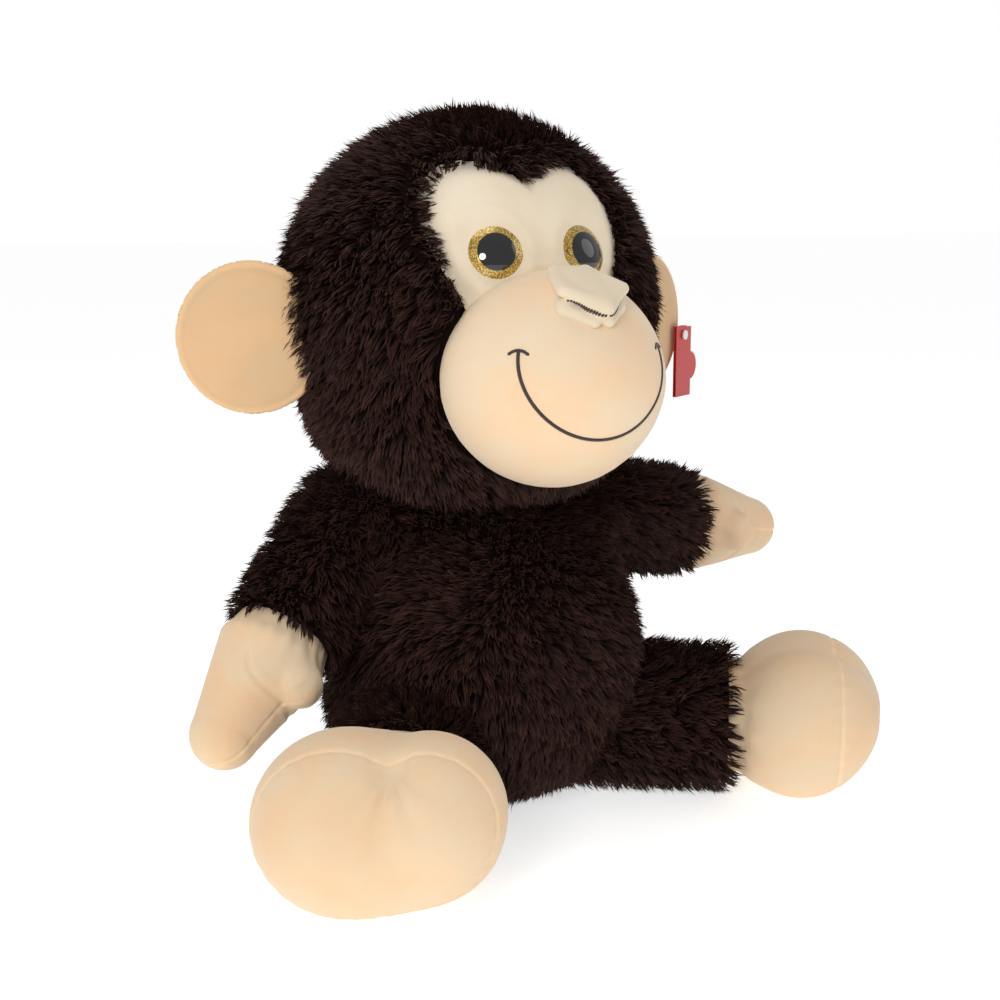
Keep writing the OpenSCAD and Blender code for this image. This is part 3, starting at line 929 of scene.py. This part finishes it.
def make_muzzle():
    def field(points):
        dome = muzzle_field(points) + 1.5 * MM
        return soft_cut(dome, ellipsoid(points, FACE, (FACE_RADIUS - 8 * MM,) * 3), 2 * MM)
    reach = 64 * MM
    points, faces = surface_mesh(field, MUZZLE - reach, MUZZLE + reach, 4.5 * MM)
    muzzle = make_object("muzzle_velour", points, faces, VELOUR_PEACH)
    inflate(muzzle, head_field(points) < 2 * MM, reach=2.5 * MM)
    subdivide(muzzle, 2)
    points, normals = coordinates(muzzle), normals_of(muzzle)
    brow = points - (MUZZLE + np.array([0, -16, 58]) * MM)
    pull = np.sin(brow[:, 0] / (1.7 * MM)) * hill(np.hypot(brow[:, 0], brow[:, 1]), 15 * MM)
    set_coordinates(muzzle, points + normals * (0.35 * MM * pull * (brow[:, 2] > -14 * MM))[:, None])
    set_attribute(muzzle, "seam_and_sheen", np.zeros(len(points)))
    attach(muzzle, "head")
    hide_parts("muzzle_cover", "muzzle_filling")
    return muzzle


def land_on(piece, points, centre):
    """The places on a mesh straight below the points, looking towards a centre, and the normals there."""
    tree = BVHTree.FromPolygons(
        [Vector(p) for p in coordinates(piece)], [tuple(f.vertices) for f in piece.data.polygons]
    )
    places, normals = [], []
    for point in points:
        start = Vector(centre + (point - centre) * 1.6)
        place, normal, _, _ = tree.ray_cast(start, (Vector(centre) - start).normalized())
        places.append(place)
        normals.append(normal)
    return np.array(places), np.array(normals)


NOSE = np.array([0.0, MUZZLE[1] - 56 * MM, MUZZLE[2] + 39.5 * MM])
NOSE_EDGE = {"knot": (9, 38, 16.5), "wing": (17, 14.5, 9), "tip": (0, 1.5, 1)}


def nose_place(name, side):
    x, y, z = NOSE_EDGE[name]
    return NOSE + np.array([side * x, y, z]) * MM


def plate(points, a, b, c, radius):
    """Distance to a triangle, thickened."""
    across = np.cross(b - a, c - a)
    across /= np.linalg.norm(across)
    away = np.abs((points - a) @ across)
    inside = np.ones(len(points), bool)
    edges = []
    for start, end in ((a, b), (b, c), (c, a)):
        inside &= (points - start) @ np.cross(across, end - start) > 0
        edges.append(round_cone(points, start, end, 0.0, 0.0))
    return np.where(inside, away, np.minimum.reduce(edges)) - radius


def nose_field(points):
    thick = 3.4 * MM
    knots = [nose_place("knot", side) for side in (-1, 1)]
    wings = [nose_place("wing", side) for side in (-1, 1)]
    tip = nose_place("tip", 1)
    right_side = plate(points, knots[0], wings[0], tip, thick)
    left_side = plate(points, knots[1], tip, wings[1], thick)
    flap = soft_union(right_side, left_side, 2 * MM)
    flap = soft_union(flap, plate(points, knots[0], tip, knots[1], thick), 2 * MM)
    core_back = NOSE + np.array([0, 32, 4]) * MM
    core_front = NOSE + np.array([0, 9, 0]) * MM
    core = round_cone(points, core_back, core_front, 14 * MM, 8 * MM)
    nose = soft_union(flap, core, 5 * MM)
    for side in (-1, 1):
        outer = NOSE + np.array([side * 14.5, 17, 0]) * MM
        inner = NOSE + np.array([side * 4, 6, -6]) * MM
        nose = soft_union(nose, round_cone(points, outer, inner, 5 * MM, 3.6 * MM), 1.2 * MM)
        back = NOSE + np.array([side * 12, 30, 4]) * MM
        nose = soft_union(nose, round_cone(points, outer, back, 5 * MM, 5 * MM), 2 * MM)
    return nose


def make_nose():
    points, faces = surface_mesh(nose_field, NOSE - 26 * MM, NOSE + np.array([26, 50, 30]) * MM, 1.0 * MM)
    nose = make_object("nose_velour", points, faces, VELOUR_NOSE)
    set_attribute(nose, "seam_and_sheen", np.zeros(len(points)))
    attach(nose, "head")
    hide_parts("nose_flap")
    parts = []
    for side in (-1, 1):
        share = np.linspace(0.12, 1.0, 15)[:, None]
        start = nose_place("wing", side) + np.array([0, 0, -4.0]) * MM
        end = NOSE + np.array([side * 1.2, -0.2, -2.6]) * MM
        places, normals = settle(nose_field, start + share * (end - start))
        line = unit(end - start)
        ways = unit_rows(np.cross(normals, line) + 0.35 * line)
        widths = (4.8 if side < 0 else 2.8) * MM * (1 - 0.55 * share[:, 0])
        parts.append(stitch_mesh(places, ways, normals, [1.5 * MM] * 15, widths, 1.4 * MM))
    slits = make_object("nostril_thread", *joined(parts), THREAD)
    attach(slits, "head")
    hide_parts("nostril_stitching")


def joined(parts):
    points, faces = [], []
    for some_points, some_faces in parts:
        faces += [tuple(len(points) + i for i in face) for face in some_faces]
        points += list(some_points)
    return points, faces


def stitch_mesh(places, ways, normals, widths, lengths, thickness):
    """Small padded stitches, each lying along its way."""
    parts = []
    around, rings = 6, 5
    for place, way, normal, width, length in zip(places, ways, normals, widths, lengths):
        across = np.cross(way, normal)
        points, faces = [], []
        for t in np.linspace(-1, 1, rings):
            swell = math.sqrt(1 - 0.85 * t * t) / 2
            for angle in np.linspace(0, 2 * math.pi, around, endpoint=False):
                points.append(
                    place + way * (t * length / 2) + across * (math.cos(angle) * width * swell)
                    + normal * (math.sin(angle) * thickness * swell)
                )
        for ring in range(rings - 1):
            for i in range(around):
                j = (i + 1) % around
                a, b = ring * around, (ring + 1) * around
                faces.append((a + i, a + j, b + j, b + i))
        faces.append(tuple(reversed(range(around))))
        faces.append(tuple((rings - 1) * around + i for i in range(around)))
        parts.append((points, faces))
    return joined(parts)


def make_smile(muzzle):
    """A deep arc of running stitches on the muzzle, with a short tick across each corner."""
    spread = np.radians(np.linspace(-98, 98, 96))
    x = 42.5 * MM * np.sin(spread)
    z = MUZZLE[2] + 13.5 * MM - 41 * MM * np.cos(spread)
    y = np.full_like(x, MUZZLE[1]) - np.sqrt((60 * MM) ** 2 - x**2 - 0.6 * (z - MUZZLE[2]) ** 2)
    places, normals = land_on(muzzle, np.stack([x, y, z], 1), MUZZLE)
    ways = unit_rows(np.gradient(places, axis=0))
    parts = [stitch_mesh(places, ways, normals, [2.1 * MM] * 96, [3.6 * MM] * 96, 1.5 * MM)]
    reach = np.linspace(-4.5, 4.5, 7) * MM
    for end in (0, -1):
        outwards = ways[end] if end else -ways[end]
        across = np.cross(normals[end], outwards)
        bow = 1.2 * MM - (reach / MM) ** 2 * 0.08 * MM
        tick = places[end] + np.outer(reach, across) + np.outer(bow, outwards)
        tick, tick_normals = land_on(muzzle, tick, MUZZLE)
        tick_ways = unit_rows(np.gradient(tick, axis=0))
        parts.append(stitch_mesh(tick, tick_ways, tick_normals, [1.9 * MM] * 7, [2.6 * MM] * 7, 1.4 * MM))
    smile = make_object("smile_thread", *joined(parts), THREAD)
    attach(smile, "head")
    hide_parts("smile_stitching")


def turned(name, profile, centre, axis, material, spokes=96):
    """A surface of revolution from (radius, height) pairs around an axis."""
    axis = unit(axis)
    first = unit(np.cross(UP, axis))
    second = np.cross(axis, first)
    points, faces = [], []
    for radius, height in profile:
        for i in range(spokes):
            angle = 2 * math.pi * i / spokes
            spoke = first * math.cos(angle) + second * math.sin(angle)
            points.append(centre + axis * height + spoke * radius)
    for ring in range(len(profile) - 1):
        a, b = ring * spokes, (ring + 1) * spokes
        for i in range(spokes):
            j = (i + 1) % spokes
            faces.append((a + i, a + j, b + j, b + i))
    return make_object(name, points, faces, material)


def dome_profile(start, end, radius, height, steps):
    """Part of a spherical cap's profile, from one radius to another."""
    ball = (radius * radius + height * height) / (2 * height)
    out = []
    for r in np.linspace(start, end, steps):
        out.append((r, math.sqrt(ball * ball - r * r) - (ball - height)))
    return out


def make_eyes():
    for name in ("left", "right"):
        centre = eye_centre(name)
        axis = unit(centre - FACE)
        seat = centre - axis * 2.4 * MM
        radius = 16.2 * MM
        height = 6.0 * MM
        inner, pupil = radius - 1.0 * MM, radius * 0.63
        rim = turned(
            "eye_rim_" + name,
            [(radius - 2.0 * MM, -3 * MM), (radius, -3 * MM), (radius + 0.1 * MM, 0.2 * MM),
             (radius - 0.2 * MM, 0.9 * MM), (inner, 1.1 * MM), (inner - 0.2 * MM, 0.4 * MM)],
            seat, axis, RIM,
        )
        iris = turned("eye_iris_dome_" + name, dome_profile(inner, pupil - 0.6 * MM, radius, height, 14),
                      seat, axis, GLITTER)
        black_profile = dome_profile(pupil, 0.02 * MM, radius, height + 0.12 * MM, 24)
        black = turned("eye_pupil_dome_" + name, black_profile,
                       seat, axis, PUPIL)
        for piece, slot, nodes in (
            (rim, "eye_black", ["eye_shank_" + name]),
            (iris, "eye_glitter", ["eye_iris_" + name, "eye_lens_" + name]),
            (black, "eye_black", ["eye_pupil_" + name]),
        ):
            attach(piece, "head")
            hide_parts(*nodes)
        if name == "left":
            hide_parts("eye_washers")


# ---------------------------------------------------------------- ears and tag


def make_ears():
    for side, name in ((1, "left"), (-1, "right")):
        low, high = box("ear_wadding_" + name)
        turn = math.radians(30) * side
        out = np.array([math.cos(turn) * side, math.sin(turn) * side, 0.0])
        face = np.array([math.sin(turn), -math.cos(turn), 0.0])
        radius = (box("ear_front_" + name)[1][2] - box("ear_front_" + name)[0][2]) / 2 + 0.7 * MM
        middle_z = (low[2] + high[2]) / 2
        edge = box("ear_front_" + name)[1 if side > 0 else 0][0]
        centre = np.array([edge - side * radius * math.cos(math.radians(30)), 0.0, middle_z])
        centre[1] = 15 * MM

        def field(points, out=out, face=face, centre=centre, radius=radius):
            away = points - centre
            across, through, high_part = away @ out, away @ face, away @ UP
            flat = np.hypot(across, high_part)
            cup = 2.5 * MM * (flat / radius) ** 2
            disc = np.stack([across, through - cup * 0.6, high_part], 1)
            pad = ellipsoid(disc, (0, 0, 0), (radius, 5.8 * MM, radius))
            keep_off = ellipsoid(points, HEAD, (HEAD_RADIUS + 1 * MM,) * 3)
            return np.maximum(pad, -keep_off)

        reach = radius + 6 * MM
        points, faces = surface_mesh(field, centre - reach, centre + reach, 1.6 * MM)
        away = points - centre
        flat = np.hypot(away @ out, away @ UP)
        normal = gradient(field, points)
        normal = unit_rows(normal)
        groove = hill(flat - (radius - 4.2 * MM), 1.1 * MM)
        rim = smoothstep(flat, radius - 4.0 * MM, radius - 2.0 * MM)
        points = points - normal * (0.9 * MM * groove)[:, None]
        ear = make_object("ear_velour_" + name, points, faces, VELOUR_EAR)
        # The ear is painted paler on its rim, as sheen, and paler all over its back.
        set_attribute(ear, "seam_and_sheen", np.maximum(rim, (away @ face < -0.5 * MM) * 1.0))
        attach(ear, "ear_" + name)
        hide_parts("ear_front_" + name, "ear_back_" + name, "ear_wadding_" + name)


# ---------------------------------------------------------------- hands and feet


UNFILLED = 0.3 * MM  # about what the filling adds, so the filled cover comes out at its real size


def velour_limb(name, limb, body, field, start, sewn, shape, replaced, slack):
    """One stuffed hand or foot: inflated from a slightly small cover, then creased and seamed."""
    ends = np.array([limb.place(0, 0, start - 30 * MM), limb.place(0, 0, start + 90 * MM)])
    shrink = UNFILLED
    points, faces = surface_mesh(
        lambda p: field(limb.own(p, start)) + shrink, ends.min(0) - 66 * MM, ends.max(0) + 66 * MM, 4 * MM
    )
    piece = make_object(name, points, faces, VELOUR_HAND)
    inflate(piece, sewn(*limb.own(points, start).T), reach=slack)
    subdivide(piece, 2)
    points, normals = coordinates(piece), normals_of(piece)
    move, seam_and_sheen = shape(*limb.own(points, start).T)
    set_coordinates(piece, points + normals * move[:, None])
    flatten_base(piece)
    set_attribute(piece, "seam_and_sheen", seam_and_sheen)
    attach(piece, body)
    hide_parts(*replaced)


def hand_shape(p):
    palm = round_cone(p, np.array([0, 0, 8]) * MM, np.array([0, 0, 58]) * MM, 31 * MM, 19 * MM)
    thumb = round_cone(p, np.array([10, 0, 10]) * MM, np.array([28, -1, 20]) * MM, 16 * MM, 13 * MM)
    return soft_union(palm, thumb, 3 * MM)


def hand_sewn(inner, up, beyond):
    edge = (np.abs(up) < 2.2 * MM) & (beyond > 30 * MM)
    return edge | (beyond < 2 * MM)


def hand_details(inner, up, beyond):
    edge = smoothstep(beyond, 26 * MM, 36 * MM)
    # seam marks the seam line: it pinches the cover in, and the same mask is painted paler as sheen.
    seam_and_sheen = hill(up, 0.9 * MM) * edge
    away = np.hypot(inner - 24 * MM, beyond - 18 * MM)
    folds = np.sin(away / (1.35 * MM)) * hill(away - 15 * MM, 3.5 * MM) * smoothstep(beyond, 12 * MM, 24 * MM)
    gather = np.sin(np.arctan2(up, inner) * 19 + beyond / (9 * MM)) * hill(beyond - 1 * MM, 10 * MM)
    puckers = np.sin(beyond / (1.6 * MM)) * hill(up, 3 * MM) * edge
    cuff = hill(beyond, 5 * MM)
    move = 0.65 * folds + 0.45 * gather - 0.9 * seam_and_sheen + 0.18 * puckers - 1.5 * cuff
    return move * MM, seam_and_sheen


def foot_shape(p):
    main = ellipsoid(p, np.array([-18, 0, 38]) * MM, np.array([47, 46, 46]) * MM)
    toe = ellipsoid(p, np.array([24, 7, 39]) * MM, np.array([38, 39, 40]) * MM)
    base = ellipsoid(p, np.array([4, -12, 34]) * MM, np.array([50, 32, 36]) * MM)
    ankle = round_cone(p, np.array([0, 0, -14]) * MM, np.array([0, 0, 24]) * MM, 33 * MM, 35 * MM)
    foot = soft_union(soft_union(main, toe, 5 * MM), base, 12 * MM)
    return soft_union(foot, ankle, 10 * MM)


SOLE_SEAM = 55 * MM


def foot_sewn(inner, up, beyond):
    return (np.abs(beyond - SOLE_SEAM) < 2.2 * MM) | (beyond < 2 * MM)


def foot_details(inner, up, beyond):
    notch_inner, notch_down = inner - 9 * MM, 36 * MM - up
    away = np.hypot(notch_inner, notch_down)
    angle = np.arctan2(notch_inner, notch_down)
    sole = smoothstep(beyond, SOLE_SEAM - 8 * MM, SOLE_SEAM + 6 * MM)
    fan_area = smoothstep(away, 2 * MM, 10 * MM) * hill(away - 14 * MM, 20 * MM) * hill(angle, 0.9)
    fan = np.sin(angle * 8 + 0.6) * fan_area
    dimple = hill(away, 9 * MM) * sole
    # seam marks the sole seam: it pinches the cover in, and the same mask is painted paler as sheen.
    seam_and_sheen = hill(beyond - SOLE_SEAM, 1.0 * MM)
    puckers = np.sin(np.arctan2(up, inner) * 34) * hill(beyond - SOLE_SEAM, 5 * MM)
    gather = np.sin(np.arctan2(up, inner) * 15 + 1) * hill(beyond, 9 * MM)
    cuff = hill(beyond, 5 * MM)
    move = 1.2 * fan * sole - 4 * dimple - 0.8 * seam_and_sheen + 0.22 * puckers + 0.5 * gather - 1.5 * cuff
    return move * MM, seam_and_sheen


def make_hands_and_feet():
    for name in ("left", "right"):
        velour_limb(
            "hand_velour_" + name, arms[name], "arm_" + name,
            hand_shape, SLEEVE_LENGTH, hand_sewn, hand_details,
            [f"hand_{part}_{name}" for part in ("back", "palm", "filling")], 3 * MM,
        )
        velour_limb(
            "foot_velour_" + name, legs[name], "leg_" + name, foot_shape, LEG_LENGTH, foot_sewn, foot_details,
            [f"foot_{part}_{name}" for part in ("top", "sole", "filling")], 3 * MM,
        )


def flatten_base(piece, floor=0.4 * MM):
    points = coordinates(piece)
    below = points[:, 2] < floor + 4 * MM
    squeezed = floor + 4 * MM * np.exp((points[:, 2] - floor - 4 * MM) / (4 * MM))
    points[:, 2] = np.where(below, squeezed, points[:, 2])
    set_coordinates(piece, points)


# ---------------------------------------------------------------- build everything

make_camera()
FUR = fur_strand_material()
SHADOWED_BACKING = shadowed_backing_material()
# Each velour's three colours are its own colour, a warmer lit copy (warm) and a shaded copy (shadow), for
# painted light and shade.
VELOUR_FACE = velour_material("velour_face", (0.86, 0.73, 0.55), (0.88, 0.76, 0.60), (0.80, 0.67, 0.49))
VELOUR_NOSE = velour_material("velour_nose", (0.80, 0.67, 0.49), (0.83, 0.68, 0.50), (0.74, 0.62, 0.45))
VELOUR_PEACH = velour_material("velour_muzzle", (0.87, 0.66, 0.44), (0.90, 0.62, 0.39), (0.84, 0.68, 0.48))
VELOUR_HAND = velour_material("velour_hands", (0.84, 0.62, 0.40), (0.86, 0.58, 0.35), (0.80, 0.63, 0.43))
VELOUR_EAR = velour_material("velour_ears", (0.74, 0.48, 0.26), (0.78, 0.50, 0.27), (0.70, 0.48, 0.28))
THREAD = thread_material()
GLITTER = glitter_material()
PUPIL = gloss_material("eye_black_plastic", (0.002, 0.002, 0.002))
RIM = gloss_material("eye_rim_plastic", (0.012, 0.008, 0.005), 0.2)
CARD = card_material("tag_card", (0.62, 0.018, 0.014), (0.50, 0.014, 0.012))
NYLON = gloss_material("fastener_nylon", (0.62, 0.62, 0.60), 0.3)
make_stage()

make_head_fur()
make_torso_fur()
for name, side in (("left", 1), ("right", -1)):
    arm, leg = arms[name], legs[name]
    make_limb_fur(
        arm, "sleeve_" + name, sleeve_field(arm), SLEEVE_LENGTH, "arm_filling_" + name,
        "sleeve_" + name, 51 + side, arm.place(0, 0, -20 * MM), arm.place(0, 0, 14 * MM),
    )
    make_limb_fur(
        leg, "leg_" + name, leg_field(leg), LEG_LENGTH, "leg_filling_" + name,
        "leg_cover_" + name, 71 + side, leg.place(0, 0, -30 * MM), leg.place(0, 0, 20 * MM),
    )
make_mask()
make_smile(make_muzzle())
make_nose()
make_eyes()
make_ears()
make_hands_and_feet()

frame["nodes"]["hang_tag"].data.materials.clear()
frame["nodes"]["hang_tag"].data.materials.append(CARD)
frame["nodes"]["tag_fastener"].data.materials.clear()
frame["nodes"]["tag_fastener"].data.materials.append(NYLON)
